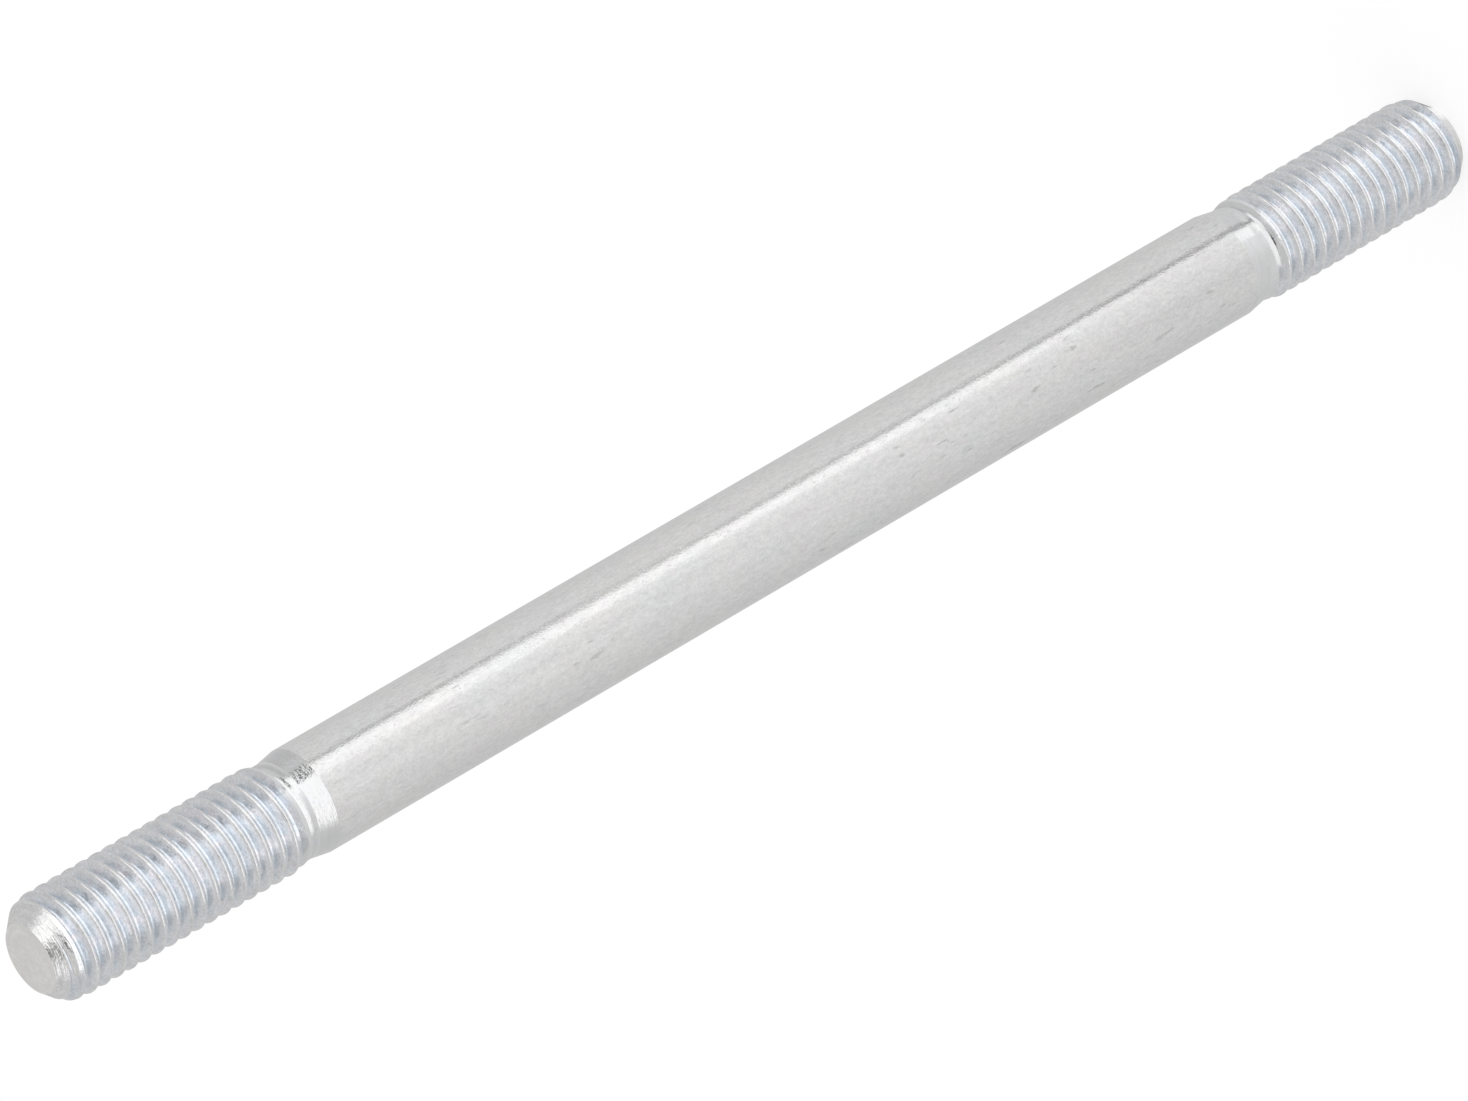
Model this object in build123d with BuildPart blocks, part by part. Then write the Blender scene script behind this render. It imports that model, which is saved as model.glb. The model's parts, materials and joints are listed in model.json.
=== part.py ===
from build123d import *
from math import atan, ceil, degrees
import os

# Double-ended stud bolt, turned from one bar with a coarse metric thread rolled on each end.
# Millimetres. Z runs up the axis from the centre of the lower end face.

# Bar
stud_length = 112.4
shank_diameter = 6.75

# Thread, right-hand on both ends
thread_pitch = 1.0
crest_diameter = 6.83
crest_width = 0.125
root_diameter = 5.6

# Full thread on each end, from its face to the start of the run-out
upper_thread_length = 17.65
lower_thread_length = 15.75

# Where each thread runs out, in degrees round the axis
upper_runout_angle = 105.0
lower_runout_angle = 58.0

# Pointed ends: a flat face, a cone, and a first crest that isn't rolled full
upper_face_diameter = 4.5
lower_face_diameter = 4.75
point_diameter = 6.45
point_length = 1.05
first_crest_length = 0.8

# Between a thread and the shank: the run-out, the bar's rolling diameter and a conical shoulder
runout_length = 1.0
neck_diameter = 6.29
neck_length = 0.7
shoulder_length = 0.95

upper_face_radius = upper_face_diameter / 2
lower_face_radius = lower_face_diameter / 2
point_radius = point_diameter / 2
crest_radius = crest_diameter / 2
root_radius = root_diameter / 2
neck_radius = neck_diameter / 2
shank_radius = shank_diameter / 2

# The groove's cutter is a V that goes on a little past the crests
thread_depth = crest_radius - root_radius
cutter_depth = thread_depth + 0.03
cutter_half_width = (thread_pitch - crest_width) / 2 * cutter_depth / thread_depth


def end_outline(face_radius, thread_length):
    """Radius and distance from the end face, from the face to the start of the shank."""
    runout_end = thread_length + runout_length
    neck_end = runout_end + neck_length
    return [
        (face_radius, 0),
        (point_radius, point_length),
        (crest_radius, point_length + first_crest_length),
        (crest_radius, thread_length),
        (neck_radius, runout_end),
        (neck_radius, neck_end),
        (shank_radius, neck_end + shoulder_length),
    ]


# One turn of the groove, and the last one, which climbs out of the metal
with BuildPart() as groove_turn:
    with BuildLine() as turn_path:
        Helix(thread_pitch, thread_pitch, root_radius)
    with BuildSketch(Plane.XZ) as groove_section:
        with BuildLine():
            Polyline(
                (root_radius, 0),
                (root_radius + cutter_depth, cutter_half_width),
                (root_radius + cutter_depth, -cutter_half_width),
                close=True,
            )
        make_face()
    sweep(path=turn_path.line, is_frenet=True)

with BuildPart() as groove_runout:
    with BuildLine() as runout_path:
        climb_angle = degrees(atan(cutter_depth / runout_length))
        Helix(thread_pitch, runout_length, root_radius, cone_angle=climb_angle)
    sweep(groove_section.sketch, path=runout_path.line, is_frenet=True)


def cut_thread(thread_length):
    """Cuts the groove of the end whose face is here, from its run-out to past the face."""
    turns = ceil((thread_length + cutter_half_width) / thread_pitch)
    with Locations((0, 0, thread_length)):
        add(groove_runout.part, mode=Mode.SUBTRACT)
    with Locations(*[(0, 0, thread_length - turn * thread_pitch) for turn in range(1, turns + 1)]):
        add(groove_turn.part, mode=Mode.SUBTRACT)


with BuildPart() as stud:
    with BuildSketch(Plane.XZ):
        with BuildLine():
            lower_outline = end_outline(lower_face_radius, lower_thread_length)
            upper_end = end_outline(upper_face_radius, upper_thread_length)
            upper_outline = [(radius, stud_length - rise) for radius, rise in reversed(upper_end)]
            Polyline((0, 0), *lower_outline, *upper_outline, (0, stud_length), close=True)
        make_face()
    revolve(axis=Axis.Z)
    with Locations(Location((0, 0, 0), (0, 0, lower_runout_angle))):
        cut_thread(lower_thread_length)
    with Locations(Location((0, 0, stud_length), (180, 0, upper_runout_angle))):
        cut_thread(upper_thread_length)

os.makedirs("parts", exist_ok=True)
stud.part.label = "stud"
export_step(stud.part, "parts/stud.step")
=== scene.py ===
import json
from math import cos, pi, radians, sin, tan

import bpy
from mathutils import Matrix, Vector


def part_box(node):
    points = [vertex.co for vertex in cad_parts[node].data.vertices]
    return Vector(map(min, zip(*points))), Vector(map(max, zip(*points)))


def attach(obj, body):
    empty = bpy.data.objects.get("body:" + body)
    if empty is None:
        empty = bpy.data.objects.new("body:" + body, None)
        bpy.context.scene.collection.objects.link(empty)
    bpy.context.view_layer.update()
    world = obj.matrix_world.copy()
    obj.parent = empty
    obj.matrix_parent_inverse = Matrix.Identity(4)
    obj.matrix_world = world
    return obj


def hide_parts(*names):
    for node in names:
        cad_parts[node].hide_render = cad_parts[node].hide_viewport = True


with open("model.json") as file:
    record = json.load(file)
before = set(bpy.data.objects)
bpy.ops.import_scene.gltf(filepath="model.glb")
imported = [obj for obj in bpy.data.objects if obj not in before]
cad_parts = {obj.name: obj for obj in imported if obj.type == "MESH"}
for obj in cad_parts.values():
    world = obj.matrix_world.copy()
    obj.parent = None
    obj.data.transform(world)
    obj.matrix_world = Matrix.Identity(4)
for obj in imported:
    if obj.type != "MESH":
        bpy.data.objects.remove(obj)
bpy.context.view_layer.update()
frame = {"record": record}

# everything is in metres: the stud stands on its lower face, and Z runs up its axis
studLow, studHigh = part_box("stud")
shankMount = next(mount for mount in frame["record"]["mounts"] if mount["name"] == "shank")
print("frame loaded")


def startMesh(name, add, **options):    # adds a primitive and opens it in edit mode, all selected
    bpy.ops.object.select_all(action="DESELECT")
    add(**options)
    made = bpy.context.object
    made.name = name
    bpy.ops.object.mode_set(mode="EDIT")
    bpy.ops.mesh.select_all(action="SELECT")
    return made


def closeMesh(made):    # back to object mode, with the place kept in the mesh
    bpy.ops.object.mode_set(mode="OBJECT")
    bpy.ops.object.transform_apply(location=True, rotation=True, scale=True)
    return made


# a closed round bar through (radius, height) stations, from one end to the other
def turnBar(name, stations, columns, offset):
    radius, height = stations[0]
    turn = 2 * pi * offset / columns    # offset is in columns
    made = startMesh(name, bpy.ops.mesh.primitive_circle_add, vertices=columns, radius=radius,
                     fill_type="NGON", location=(0, 0, height), rotation=(0, 0, turn))
    for nextRadius, nextHeight in stations[1:]:
        step = (0, 0, nextHeight - height)
        bpy.ops.mesh.extrude_region_move(TRANSFORM_OT_translate={"value": step})
        bpy.ops.transform.resize(value=(nextRadius / radius, nextRadius / radius, 1),
                                 center_override=(0, 0, nextHeight))
        radius, height = nextRadius, nextHeight
    bpy.ops.mesh.select_all(action="SELECT")
    bpy.ops.mesh.normals_make_consistent(inside=False)
    return closeMesh(made)


def drawLine(name, points):    # an open line through (radius, height) points
    radius, height = points[0]
    made = startMesh(name, bpy.ops.mesh.primitive_plane_add, size=0.001,
                     location=(radius, 0, height))
    bpy.ops.mesh.merge(type="CENTER")    # down to the line's first point
    for nextRadius, nextHeight in points[1:]:
        step = (nextRadius - radius, 0, nextHeight - height)
        bpy.ops.mesh.extrude_region_move(TRANSFORM_OT_translate={"value": step})
        radius, height = nextRadius, nextHeight
    return closeMesh(made)


def applyModifier(piece, kind, **settings):
    bpy.ops.object.select_all(action="DESELECT")
    piece.select_set(True)
    bpy.context.view_layer.objects.active = piece
    modifier = piece.modifiers.new(kind.title(), kind)
    for setting, value in settings.items():
        setattr(modifier, setting, value)
    bpy.ops.object.modifier_apply(modifier=modifier.name)


def combine(piece, other, operation):    # boolean that uses up the other piece
    applyModifier(piece, "BOOLEAN", operation=operation, solver="EXACT", object=other)
    bpy.data.objects.remove(other)


# (radius, height) points along an arc; its angles, in degrees, start from outwards
def arc(centre, radius, start, end, steps):
    turned = [radians(start + (end - start) * step / steps) for step in range(steps + 1)]
    return [(centre[0] + radius * cos(angle), centre[1] + radius * sin(angle)) for angle in turned]


stud = {
    "columns": 120,    # round the axis
    "length": studHigh.z - studLow.z,
    "shankRadius": shankMount["dims"]["r_mm"] / 1000,
    "neckRadius": 0.003145,
    "neckLength": 0.0005,
    "shoulderLength": 0.0013,
    "shoulderRounding": 0.0003,    # at the foot and at the top of the shoulder's cone
    "roundingSteps": 6,
    "upperFaceRadius": 0.00225,
    "lowerFaceRadius": 0.002375,
    "faceRounding": 0.00006,
    "faceRim": ((-1, 0), (0, 0.3), (0.7, 1.3)),    # outwards and down from the face, in roundings
    "pointRadius": 0.003225,
    "pointLength": 0.00105,
    "firstCrestLength": 0.0008,
    "coreOffset": 0.25,    # in columns, so that no two pieces' edges coincide
    "trimOffset": 0.5,
    "weld": 0.0000005,    # points closer than this become one
    "smoothAngle": 32,
}

thread = {
    "pitch": 0.001,
    "crestRadius": studHigh.x - 0.000002,
    "crestWidth": 0.000125,
    "crestRounding": 0.00008,
    "rootRounding": 0.000144,
    "flankAngle": 30,    # from square to the axis
    "runoutLength": 0.0009,
    "upperLength": 0.01765,
    "lowerLength": 0.01575,
    "upperCrest": 0.002108,    # a crest's distance from the upper face, at the -Y side
    "lowerCrest": 0.015838,    # and from the lower face
    "clearance": 0.00002,    # of the tools that trim the rod
    "trimReach": 1.2,    # how far they follow the run-out, in its lengths
    "overlap": 0.0001,    # of the rod's inner end with the bar
    "crestSteps": 3,
    "rootSteps": 8,
    "coreShare": 0.9,    # the bar's end inside the thread, as a share of the root's radius
    "coreReach": 0.1,    # where the bar is full again, in run-outs before the run-out
    "weld": 0.000001,
    "cutWeld": 0.0000001,
}


# one pitch of the thread's outline, from a crest's centre at height 0 to the next
def threadLine():
    flank = radians(thread["flankAngle"])
    tilt = 90 - thread["flankAngle"]
    crestRadius, rounding = thread["crestRadius"], thread["crestRounding"]
    crestEnd = thread["crestWidth"] / 2 - rounding * tan(radians(tilt / 2))
    crestEdge = arc((crestRadius - rounding, crestEnd), rounding, 0, tilt,
                    thread["crestSteps"])
    middle = thread["pitch"] / 2
    vRadius = crestRadius - (middle - thread["crestWidth"] / 2) / tan(flank)
    rootCentre = (vRadius + thread["rootRounding"] / sin(flank), middle)
    root = arc(rootCentre, thread["rootRounding"], 180 + tilt, 180 - tilt, thread["rootSteps"])
    farEdge = [(radius, thread["pitch"] - height) for radius, height in reversed(crestEdge)]
    return [(crestRadius, 0)] + crestEdge + root + farEdge + [(crestRadius, thread["pitch"])]


# a rod with flat ends, and with a crest at crestHeight on the -Y side
def threadedRod(name, crestHeight, bottom, top):
    pitch = thread["pitch"]
    crestAtStart = crestHeight + pitch / 4    # a quarter turn on, where the line is drawn
    below = int((crestAtStart - bottom) / pitch) + 2
    line = [(radius, height + crestAtStart - below * pitch) for radius, height in threadLine()]
    rod = drawLine(name, line)
    turns = int((top - line[0][1]) / pitch) + 2
    applyModifier(rod, "SCREW", angle=2 * pi, screw_offset=pitch, iterations=turns,
                  steps=stud["columns"], render_steps=stud["columns"],
                  use_merge_vertices=True, merge_threshold=thread["weld"])
    bpy.ops.object.mode_set(mode="EDIT")
    bpy.ops.mesh.select_all(action="SELECT")
    bpy.ops.mesh.remove_doubles(threshold=thread["weld"])
    for height, side in ((bottom, -1), (top, 1)):
        bpy.ops.mesh.select_all(action="SELECT")
        bpy.ops.mesh.bisect(plane_co=(0, 0, height), plane_no=(0, 0, side),
                            threshold=thread["cutWeld"], use_fill=True, clear_outer=True)
    bpy.ops.mesh.select_all(action="SELECT")
    bpy.ops.mesh.normals_make_consistent(inside=False)
    bpy.ops.object.mode_set(mode="OBJECT")
    return rod


# what the threaded rod is cut down to, from its face inwards
def trimStations(faceRadius, threadLength):
    rounding, gap = stud["faceRounding"], thread["clearance"]
    outside = thread["crestRadius"] + gap
    crestSlope = (thread["crestRadius"] - stud["pointRadius"]) / stud["firstCrestLength"]
    fadeSlope = (thread["crestRadius"] - stud["neckRadius"]) / thread["runoutLength"]
    trimEnd = threadLength + thread["runoutLength"] * thread["trimReach"]
    rim = [(faceRadius + rounding * out, rounding * down) for out, down in stud["faceRim"]]
    return rim + [
        (stud["pointRadius"], stud["pointLength"]),
        (outside, stud["pointLength"] + stud["firstCrestLength"] + gap / crestSlope),
        (outside, threadLength - gap / fadeSlope),
        (outside - fadeSlope * (trimEnd - threadLength + gap / fadeSlope), trimEnd),
    ]


# from the neck over a rounded corner, a cone and a rounded edge to the shank
def shoulderStations(neckEnd):
    neckRadius, shankRadius = stud["neckRadius"], stud["shankRadius"]
    rounding, length = stud["shoulderRounding"], stud["shoulderLength"]
    rise = (shankRadius - neckRadius) / length
    reach = rounding * rise / 2    # how far each rounding runs along its straight neighbours
    steps = stud["roundingSteps"]
    foot, top = [], []
    for step in range(steps + 1):
        along = reach * (2 * step / steps - 1)
        lift = rise * (along + reach) ** 2 / (4 * reach)
        foot.append((neckRadius + lift, neckEnd + along))
        top.append((shankRadius - lift, neckEnd + length - along))
    return foot + list(reversed(top))


def coreStations():    # the whole bar inside the threads
    rootRadius = min(radius for radius, height in threadLine())
    runout, start = thread["runoutLength"], []
    for threadLength in (thread["lowerLength"], thread["upperLength"]):
        neckEnd = threadLength + runout + stud["neckLength"]
        start.append([
            (rootRadius * thread["coreShare"], threadLength - runout),
            (rootRadius - thread["clearance"], threadLength - runout * thread["coreReach"]),
            (stud["neckRadius"], threadLength + runout),
        ] + shoulderStations(neckEnd))
    upper = [(radius, stud["length"] - height) for radius, height in reversed(start[1])]
    return start[0] + upper


def endSizes(upper):    # an end's full thread and the radius of its face
    if upper:
        return thread["upperLength"], stud["upperFaceRadius"]
    return thread["lowerLength"], stud["lowerFaceRadius"]


def threadedEnd(name, crestHeight, upper):
    threadLength, faceRadius = endSizes(upper)
    stations = trimStations(faceRadius, threadLength)
    inner = stations[-1][1] - thread["overlap"]
    pastFace = thread["pitch"] / 3
    bottom, top = -pastFace, inner
    if upper:
        stations = [(radius, stud["length"] - height) for radius, height in reversed(stations)]
        bottom, top = stud["length"] - inner, stud["length"] + pastFace
    rod = threadedRod(name, crestHeight, bottom, top)
    trim = turnBar(name + "Trim", stations, stud["columns"], stud["trimOffset"])
    combine(rod, trim, "INTERSECT")
    return rod


def makeStud():
    piece = turnBar("studBolt", coreStations(), stud["columns"], stud["coreOffset"])
    upperCrest = stud["length"] - thread["upperCrest"]
    combine(piece, threadedEnd("lowerEnd", thread["lowerCrest"], False), "UNION")
    print("lower thread made")
    combine(piece, threadedEnd("upperEnd", upperCrest, True), "UNION")
    print("upper thread made")
    bpy.ops.object.mode_set(mode="EDIT")
    bpy.ops.mesh.select_all(action="SELECT")
    bpy.ops.mesh.remove_doubles(threshold=stud["weld"])
    bpy.ops.mesh.normals_make_consistent(inside=False)
    bpy.ops.object.mode_set(mode="OBJECT")
    bpy.ops.object.shade_smooth_by_angle(angle=radians(stud["smoothAngle"]))
    applyModifier(piece, "WEIGHTED_NORMAL", keep_sharp=True)    # keeps the thread's flanks flat
    return piece


studBolt = makeStud()
print("stud made:", len(studBolt.data.polygons), "faces")


class Wire:    # a shader socket that can be added, multiplied and so on
    def __init__(self, tree, socket=None):
        self.tree = tree
        self.socket = socket

    # any node: its settings are made first, and then its sockets get their values or links
    def node(self, kind, settings=None, inputs=None, output=0):
        made = self.tree.nodes.new(kind)
        for name, value in (settings or {}).items():
            if name == "stops":
                self.setStops(made.color_ramp, value)
            else:
                setattr(made, name, value)
        for name, value in (inputs or {}).items():
            if isinstance(value, Wire):
                self.tree.links.new(value.socket, made.inputs[name])
            else:
                made.inputs[name].default_value = value
        return Wire(self.tree, made.outputs[output] if made.outputs else None)

    def setStops(self, ramp, stops):    # (position, grey) pairs
        while len(ramp.elements) < len(stops):
            ramp.elements.new(1)
        for element, (position, grey) in zip(ramp.elements, stops):
            element.position = position
            element.color = (grey, grey, grey, 1)

    def sum(self, operation, first, second):
        return self.node("ShaderNodeMath", {"operation": operation}, {0: first, 1: second})

    def __add__(self, other): return self.sum("ADD", self, other)
    def __radd__(self, other): return self.sum("ADD", other, self)
    def __sub__(self, other): return self.sum("SUBTRACT", self, other)
    def __rsub__(self, other): return self.sum("SUBTRACT", other, self)
    def __mul__(self, other): return self.sum("MULTIPLY", self, other)
    def __rmul__(self, other): return self.sum("MULTIPLY", other, self)

    def top(self, other): return self.sum("MAXIMUM", self, other)

    def ramp(self, start, end):    # 0 at start to 1 at end
        return self.node("ShaderNodeMapRange", {"clamp": True},
                         {"Value": self, "From Min": start, "From Max": end})

    def shift(self, first, second):    # this value picks between two numbers
        return first + self * (second - first)

    def blend(self, first, second):    # this value picks between two colours
        return self.node("ShaderNodeMix", {"data_type": "RGBA"}, {0: self, 6: first, 7: second}, 2)

    def vector(self, operation, other=None, output=0):
        inputs = {0: self} if other is None else {0: self, 1: other}
        return self.node("ShaderNodeVectorMath", {"operation": operation}, inputs, output)

    def noise(self, scale, detail, roughness):    # scale: features a metre on X, Y and Z
        stretched = self.vector("MULTIPLY", scale)
        return self.node("ShaderNodeTexNoise", {}, {"Vector": stretched, "Scale": 1.0,
                                                    "Detail": detail, "Roughness": roughness})


def newMaterial(name):
    material = bpy.data.materials.new(name)
    material.use_nodes = True
    material.node_tree.nodes.clear()
    return material, Wire(material.node_tree)


# colour and tint are the ends of a slow change over the surface, bloom lies over them in patches,
# and depths are in metres
shankFinish = {
    "colour": (0.82, 0.815, 0.805),
    "tint": (0.80, 0.805, 0.81),
    "bloom": (0.815, 0.80, 0.805),
    "roughness": 0.055,
    "frost": 0.15,    # how far the brightness varies from grain to grain
    "grain": (7000, 7000, 6500),
    "grainDepth": 0.000011,
    "marks": (4500, 4500, 1900),    # lines from drawing the bar
    "markDepth": 0.000004,
    "scratches": (3000, 3000, 650),
    "scratchShade": 0.72,
    "pitDepth": 0.000016,
}

threadFinish = {
    "colour": (0.86, 0.865, 0.875),
    "tint": (0.87, 0.865, 0.87),
    "bloom": (0.85, 0.845, 0.875),
    "groove": (0.755, 0.80, 0.855),    # painted shade with a bluish painted reflection, growing towards the bottom of the thread
    "roughness": 0.14,
    "frost": 0.22,
    "grain": (5500, 5500, 7000),
    "grainDepth": 0.000012,
    "marks": (900, 900, 7000),
    "markDepth": 0.000005,
    "scratches": (2500, 2500, 6000),
    "scratchShade": 0.85,
    "pitDepth": 0.000010,
}

neckFinish = {
    "colour": (0.84, 0.84, 0.84),
    "tint": (0.82, 0.825, 0.83),
    "bloom": (0.83, 0.835, 0.85),
    "roughness": 0.09,
    "frost": 0.06,
    "grain": (4500, 4500, 4500),
    "grainDepth": 0.000012,
    "marks": (800, 800, 4500),
    "markDepth": 0.000003,
    "scratches": (2200, 2200, 3500),
    "scratchShade": 0.85,
    "pitDepth": 0,
}

pointFinish = {
    "colour": (0.86, 0.855, 0.845),
    "tint": (0.82, 0.82, 0.825),
    "bloom": (0.85, 0.84, 0.85),
    "roughness": 0.1,
    "frost": 0.2,
    "grain": (4500, 4500, 8000),
    "grainDepth": 0.000030,
    "rings": (600, 600, 7500),    # turning marks: features across, and from ring to ring
    "markDepth": 0.000060,
    "scratches": (2500, 2500, 5000),
    "scratchShade": 0.75,
    "pitDepth": 0.000008,
}

faceFinish = {
    "colour": (0.91, 0.89, 0.87),
    "tint": (0.94, 0.93, 0.91),
    "bloom": (0.91, 0.885, 0.875),
    "roughness": 0.3,
    "frost": 0.12,
    "grain": (4000, 4000, 4000),
    "grainDepth": 0.000015,
    "rings": (300, 300, 5000),
    "markDepth": 0.000008,
    "scratches": (1500, 1500, 1500),
    "scratchShade": 0.93,
    "pitDepth": 0,
}


# patterns that every finish has: their features a metre, detail and roughness, and where in the
# noise they start to show and show in full
zinc = {
    "cloud": ((330, 330, 160), 3.0, 0.6),    # the slow change from colour to tint
    "cloudShows": (0.35, 0.65),
    "cloudRoughness": 0.08,
    "patches": ((1100, 1100, 800), 2.0, 0.6),
    "patchesShow": (0.5, 0.62),
    "pits": ((5200, 5200, 4300), 2.0, 0.7),
    "pitsShow": (0.66, 0.74),
    "worn": ((220, 220, 150), 2.0, 0.5),    # scratches come in groups
    "wornShows": (0.42, 0.6),
    "scratchesShow": (0.62, 0.72),
    "grooveDepth": 0.0005,    # from the crests down to the full painted shade and reflection at the groove's bottom
}


def zincMaterial(name, finish):
    material, start = newMaterial(name)
    place = start.node("ShaderNodeTexCoord", output=3)
    across = place.vector("MULTIPLY", (1, 1, 0))
    if "rings" in finish:    # the noise runs fast from ring to ring, and slowly round each
        radius = start.node("ShaderNodeCombineXYZ", {}, {2: across.vector("LENGTH", output=1)})
        marks = across.vector("ADD", radius).noise(finish["rings"], 2.0, 0.6)
    else:
        marks = place.noise(finish["marks"], 2.0, 0.6)
    grain = place.noise(finish["grain"], 3.0, 0.6)
    height = grain * finish["grainDepth"] + marks * finish["markDepth"]
    if finish["pitDepth"]:
        pits = place.noise(*zinc["pits"]).ramp(*zinc["pitsShow"])
        height = height - pits * finish["pitDepth"]
    bump = start.node("ShaderNodeBump", {}, {"Strength": 1.0, "Distance": 1.0, "Height": height})
    cloud = place.noise(*zinc["cloud"])
    colour = cloud.ramp(*zinc["cloudShows"]).blend((*finish["colour"], 1), (*finish["tint"], 1))
    # painted shade and painted reflection: the thread's colour turns darker and bluer towards the
    # bottom of its groove
    if "groove" in finish:
        crest = thread["crestRadius"]
        depth = across.vector("LENGTH", output=1).ramp(crest - zinc["grooveDepth"], crest)
        colour = depth.blend((*finish["groove"], 1), colour)
    patches = place.noise(*zinc["patches"]).ramp(*zinc["patchesShow"])
    colour = patches.blend(colour, (*finish["bloom"], 1))
    frost = 1 + (grain + marks - 1) * (finish["frost"] * 2)
    worn = place.noise(*zinc["worn"]).ramp(*zinc["wornShows"])
    scratches = place.noise(finish["scratches"], 2.0, 0.65).ramp(*zinc["scratchesShow"]) * worn
    frost = frost * scratches.shift(1, finish["scratchShade"])
    frosted = start.node("ShaderNodeVectorMath", {"operation": "SCALE"},
                         {0: colour, "Scale": frost})
    shader = start.node("ShaderNodeBsdfPrincipled", {}, {
        "Base Color": frosted, "Metallic": 1.0, "Normal": bump,
        "Roughness": finish["roughness"] + (cloud - 0.5) * zinc["cloudRoughness"]})
    start.node("ShaderNodeOutputMaterial", {}, {"Surface": shader})
    return material


paint = {
    "order": ("zincShank", "zincThread", "zincNeck", "zincPoint", "zincFace"),
    "zincShank": shankFinish,
    "zincThread": threadFinish,
    "zincNeck": neckFinish,
    "zincPoint": pointFinish,
    "zincFace": faceFinish,
    "faceReach": 0.2,    # how far down its rim the face's finish goes, in roundings
    "pointReach": 1.3,    # how far up the bar the cone's finish goes, in lengths of the cone
    "coneSkin": 0.00008,    # what lies deeper than this under the cone is thread
    "runoutShare": 0.25,    # how much of the run-out looks like the thread
}


def finishAt(place):    # the name of the finish at a place on the stud
    upper = place.z > stud["length"] / 2
    fromEnd = stud["length"] - place.z if upper else place.z
    threadLength, faceRadius = endSizes(upper)
    coneSlope = (stud["pointRadius"] - faceRadius) / stud["pointLength"]
    coneRadius = faceRadius + coneSlope * fromEnd
    onCone = place.xy.length > coneRadius - paint["coneSkin"]
    runoutLength = thread["runoutLength"]
    neckEnd = threadLength + runoutLength + stud["neckLength"] + stud["shoulderLength"]
    if fromEnd < stud["faceRounding"] * paint["faceReach"]:
        return "zincFace"
    if onCone and fromEnd < stud["pointLength"] * paint["pointReach"]:
        return "zincPoint"
    if fromEnd < threadLength + runoutLength * paint["runoutShare"]:
        return "zincThread"
    return "zincNeck" if fromEnd < neckEnd else "zincShank"


def paintStud(piece):
    for name in paint["order"]:
        piece.data.materials.append(zincMaterial(name, paint[name]))
    for face in piece.data.polygons:
        face.material_index = paint["order"].index(finishAt(face.center))


paintStud(studBolt)
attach(studBolt, "root")
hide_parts("stud")
print("stud finished")


studio = {
    "floorSize": 8,
    "floorDrop": 0.00002,    # below the stud's lower face
    "floorShade": 0.36,
    "floorGlow": 0.71,
    "skyLight": 0.8,
    "mirroredSky": 0.62,
    "bandGlow": 1.2,    # a bright band low in the sky on the camera's side, which the metal sees
    "bandLow": 0,    # its lower and upper edge, in degrees
    "bandHigh": 36,
    "bandLowSoftness": 0.02,
    "bandHighSoftness": 0.04,
    "bandSide": (0.2, 0.4),    # where it starts and is full, as a share of straight to the front
    "poolSoftness": 3,    # of the edges of the sky's pools, in degrees
}

# (degrees, brightness) of the floor as the metal sees it, round the stud from the -Y side to +X
footPools = [(-180, 0.68), (-95, 0.7), (-63, 0.72), (-20, 0.84), (0, 0.9), (20, 0.95), (26, 1.2),
             (48, 1.2), (53, 0.9), (57, 0.4), (66, 0.4), (69, 0.72), (95, 0.7), (180, 0.68)]
nearPools = [(-180, 0.66), (-123, 0.69), (-95, 0.74), (-54, 0.79), (-28, 0.78), (-16, 0.83),
             (-4, 0.89), (12, 0.91), (21, 0.96), (25, 1.0), (28, 0.93), (36, 1.0), (47, 1.05),
             (49.5, 0.7), (51, 0.3), (54.5, 0.3), (56, 0.8), (67, 0.82), (95, 0.79), (123, 0.74),
             (180, 0.66)]
middlePools = [(-180, 0.66), (-123, 0.69), (-95, 0.74), (-63, 0.8), (-45, 0.82), (-20, 0.89),
               (-4, 0.87), (12, 0.96), (24, 0.97), (28, 1.05), (31, 1.19), (47, 1.19),
               (50.5, 0.8), (52, 0.58), (56, 0.58), (58.5, 0.84), (95, 0.8), (123, 0.75),
               (180, 0.66)]
farPools = [(-180, 0.66), (-123, 0.69), (-95, 0.74), (-63, 0.8), (-45, 0.83), (-20, 0.94),
            (-4, 0.88), (12, 0.99), (24, 1.0), (28, 1.2), (54.5, 1.2), (57, 0.75), (58.5, 0.4),
            (62, 0.4), (64, 0.84), (95, 0.8), (123, 0.75), (180, 0.66)]
outerPools = [(-180, 0.66), (-95, 0.66), (-63, 0.7), (-20, 0.82), (0, 0.9), (13, 1.0), (18, 1.2),
              (55, 1.2), (59, 0.75), (66, 0.6), (90, 0.6), (180, 0.66)]
edgePools = [(-180, 0.68), (-80, 0.7), (-60, 1.2), (30, 1.2), (60, 0.75), (180, 0.68)]
wallPools = [(-180, 0.68), (-80, 0.7), (-60, 1.2), (32, 1.2), (36, 0.02), (61, 0.02), (68, 0.75),
             (180, 0.68)]

# where the floor's pools turn into the next set: start and end, in metres from the stud's foot
floorRings = [(0.016, 0.021, nearPools), (0.042, 0.07, middlePools), (0.115, 0.15, farPools),
              (0.19, 0.22, outerPools), (0.36, 0.42, edgePools), (0.5, 0.53, wallPools),
              (0.86, 0.92, edgePools)]

# bright and dark places of the sky as the metal sees it: direction, radius in degrees, brightness
skyPools = [((0.43, -0.45, 0.78), 14, 1.2), ((0.68, -0.22, 0.7), 12, 1.15),
            ((-0.189, -0.489, 0.85), 11, 0.02)]


def rayKinds(start):    # rays from the camera, and rays mirrored or let through by a surface
    path = "ShaderNodeLightPath"
    return start.node(path, output=0), start.node(path, output=3).top(start.node(path, output=6))


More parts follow.
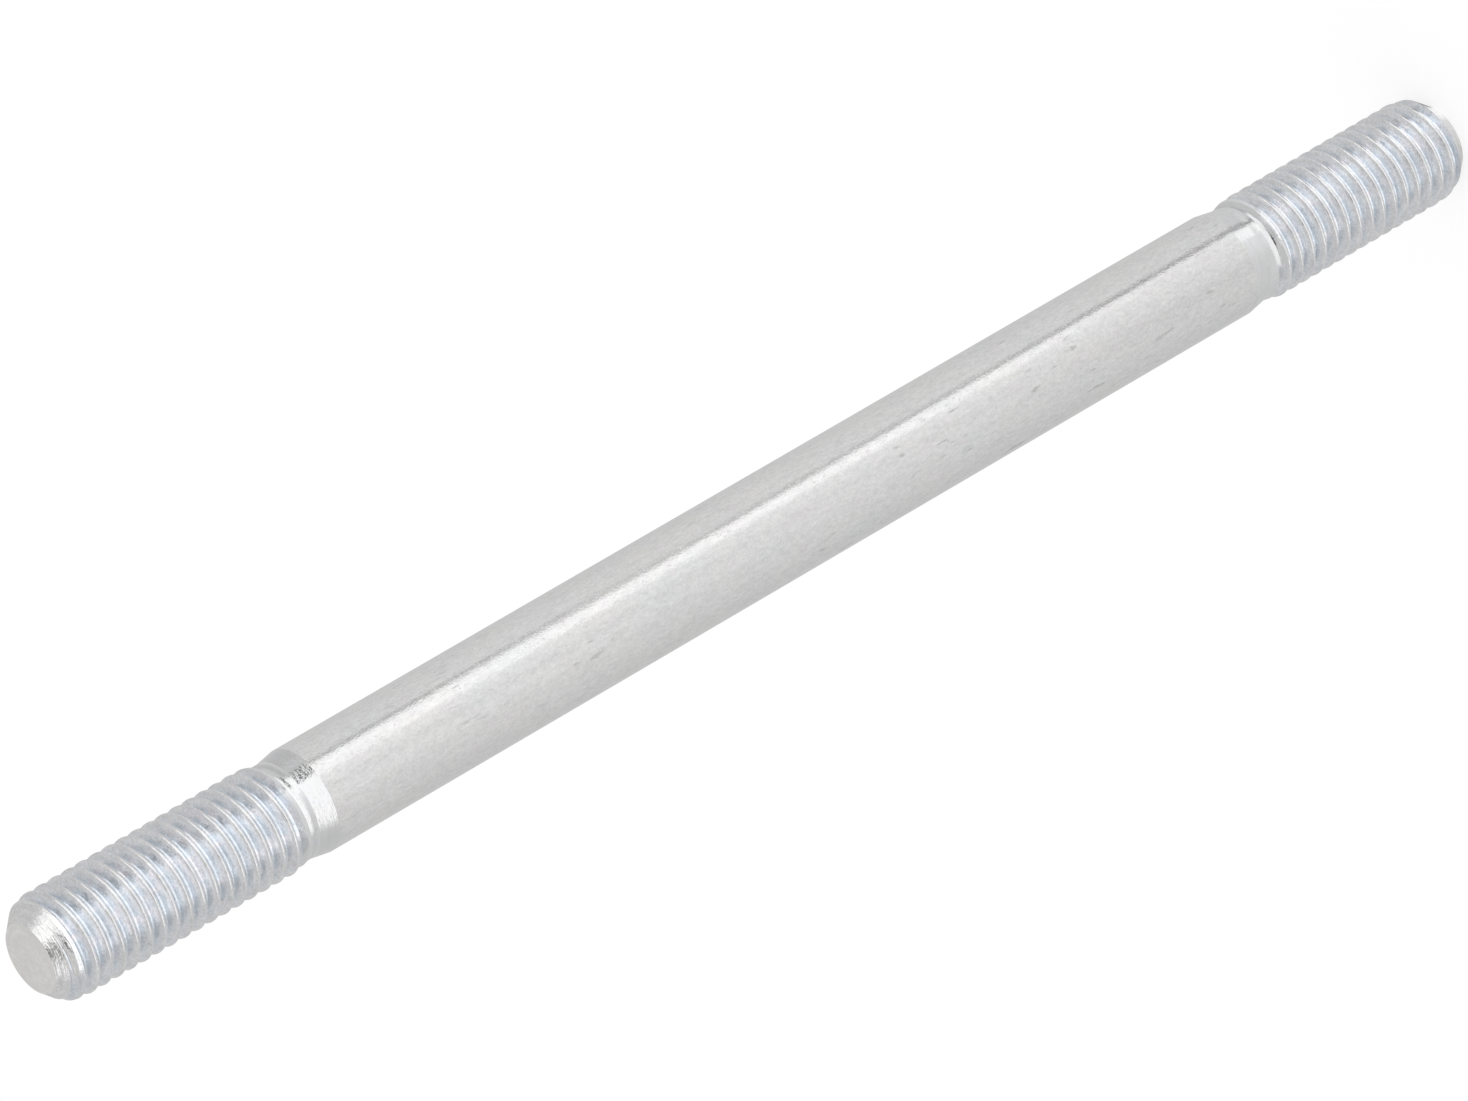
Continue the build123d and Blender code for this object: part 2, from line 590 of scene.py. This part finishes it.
def ringPools(start, angle, pools):    # angle runs from 0 to 1 round the stud
    stops = [(0.5 + degrees / 360, brightness) for degrees, brightness in pools]
    return start.node("ShaderNodeValToRGB", {"stops": stops}, {"Fac": angle})


def makeFloor():
    floor = startMesh("studioFloor", bpy.ops.mesh.primitive_plane_add, size=studio["floorSize"],
                      location=(0, 0, -studio["floorDrop"]))
    closeMesh(floor)
    material, start = newMaterial("paleFloor")
    camera, mirrored = rayKinds(start)
    place = start.node("ShaderNodeTexCoord", output=3)
    turned = start.node("ShaderNodeMapping", {}, {"Vector": place, "Rotation": (0, 0, radians(90))})
    angle = start.node("ShaderNodeTexGradient", {"gradient_type": "RADIAL"}, {"Vector": turned}, 1)
    outwards = place.vector("LENGTH", output=1)
    pools = ringPools(start, angle, footPools)
    for inner, outer, ring in floorRings:
        pools = outwards.ramp(inner, outer).shift(pools, ringPools(start, angle, ring))
    strength = camera * studio["floorGlow"] + mirrored * (pools - studio["floorShade"])
    glow = start.node("ShaderNodeEmission", {}, {"Color": (1, 1, 1, 1), "Strength": strength})
    matt = start.node("ShaderNodeBsdfDiffuse", {}, {"Color": (studio["floorShade"],) * 3 + (1,)})
    both = start.node("ShaderNodeAddShader", {}, {0: glow, 1: matt})
    start.node("ShaderNodeOutputMaterial", {}, {"Surface": both})
    floor.data.materials.append(material)


def makeSky():
    world = bpy.data.worlds.new("studioSky")
    world.use_nodes = True
    world.node_tree.nodes.clear()
    bpy.context.scene.world = world
    start = Wire(world.node_tree)
    camera, mirrored = rayKinds(start)
    direction = start.node("ShaderNodeTexCoord", output=0)
    rise = direction.vector("DOT_PRODUCT", (0, 0, 1), 1)
    front = direction.vector("DOT_PRODUCT", (0, -1, 0), 1).ramp(*studio["bandSide"])
    low, high = sin(radians(studio["bandLow"])), sin(radians(studio["bandHigh"]))
    softLow, softHigh = studio["bandLowSoftness"], studio["bandHighSoftness"]
    belowTop = rise.ramp(high + softHigh, high - softHigh)
    band = rise.ramp(low - softLow, low + softLow) * belowTop * front
    sky = band.shift(studio["mirroredSky"], studio["bandGlow"])
    for towards, radius, brightness in skyPools:
        closeness = direction.vector("DOT_PRODUCT", towards, 1)
        outer, inner = radius + studio["poolSoftness"], radius - studio["poolSoftness"]
        sky = closeness.ramp(cos(radians(outer)), cos(radians(inner))).shift(sky, brightness)
    other = 1 - camera.top(mirrored)
    strength = camera + mirrored * sky + other * studio["skyLight"]
    glow = start.node("ShaderNodeBackground", {}, {"Color": (1, 1, 1, 1), "Strength": strength})
    start.node("ShaderNodeOutputWorld", {}, {"Surface": glow})


lamps = {
    "frontBox": {"place": (0.25, -1.0, 0.75), "size": (1.0, 0.5), "brightness": 0.3},
    "topBox": {"place": (0, 0.3, 1.4), "size": (0.8, 0.8), "brightness": 0.3},
    "sideBox": {"place": (-1.1, -0.2, 0.7), "size": (0.6, 0.6), "brightness": 0.3},
}


# a soft box that faces the stud; brightness 1 is as bright as white
def makeLamp(name, place, size, brightness):
    light = bpy.data.lights.new(name, "AREA")
    light.shape = "RECTANGLE"
    light.size, light.size_y = size
    light.energy = brightness * pi * size[0] * size[1]
    lamp = bpy.data.objects.new(name, light)
    bpy.context.scene.collection.objects.link(lamp)
    aim = Vector((0, 0, stud["length"] / 2)) - Vector(place)
    turn = aim.to_track_quat("-Z", "Y").to_matrix().to_4x4()
    lamp.matrix_world = Matrix.Translation(place) @ turn
    lamp.visible_camera = False


makeFloor()
makeSky()
for name, lamp in lamps.items():
    makeLamp(name, **lamp)
print("studio lit")


view = {
    "aimHeight": 0.0584,    # on the stud's axis
    "aside": -0.00006,
    "distance": 0.7247,
    "elevation": 30.79,    # degrees, as is the roll
    "roll": -120.226,
    "lens": 299.85,    # millimetres, as is the sensor
    "sensorWidth": 36,
    "clipStart": 0.01,
}


def makeCamera():
    camera = bpy.data.objects.new("studCamera", bpy.data.cameras.new("studCamera"))
    bpy.context.scene.collection.objects.link(camera)
    camera.data.lens = view["lens"]
    camera.data.sensor_width = view["sensorWidth"]
    camera.data.clip_start = view["clipStart"]
    tilt = radians(view["elevation"])
    back = Vector((0, -cos(tilt), sin(tilt))) * view["distance"]
    place = Vector((view["aside"], 0, view["aimHeight"])) + back
    roll = Matrix.Rotation(radians(view["roll"]), 4, "Z")
    turn = Matrix.Rotation(radians(90) - tilt, 4, "X") @ roll
    camera.matrix_world = Matrix.Translation(place) @ turn
    bpy.context.scene.camera = camera


makeCamera()
bpy.context.scene.view_settings.view_transform = "Standard"
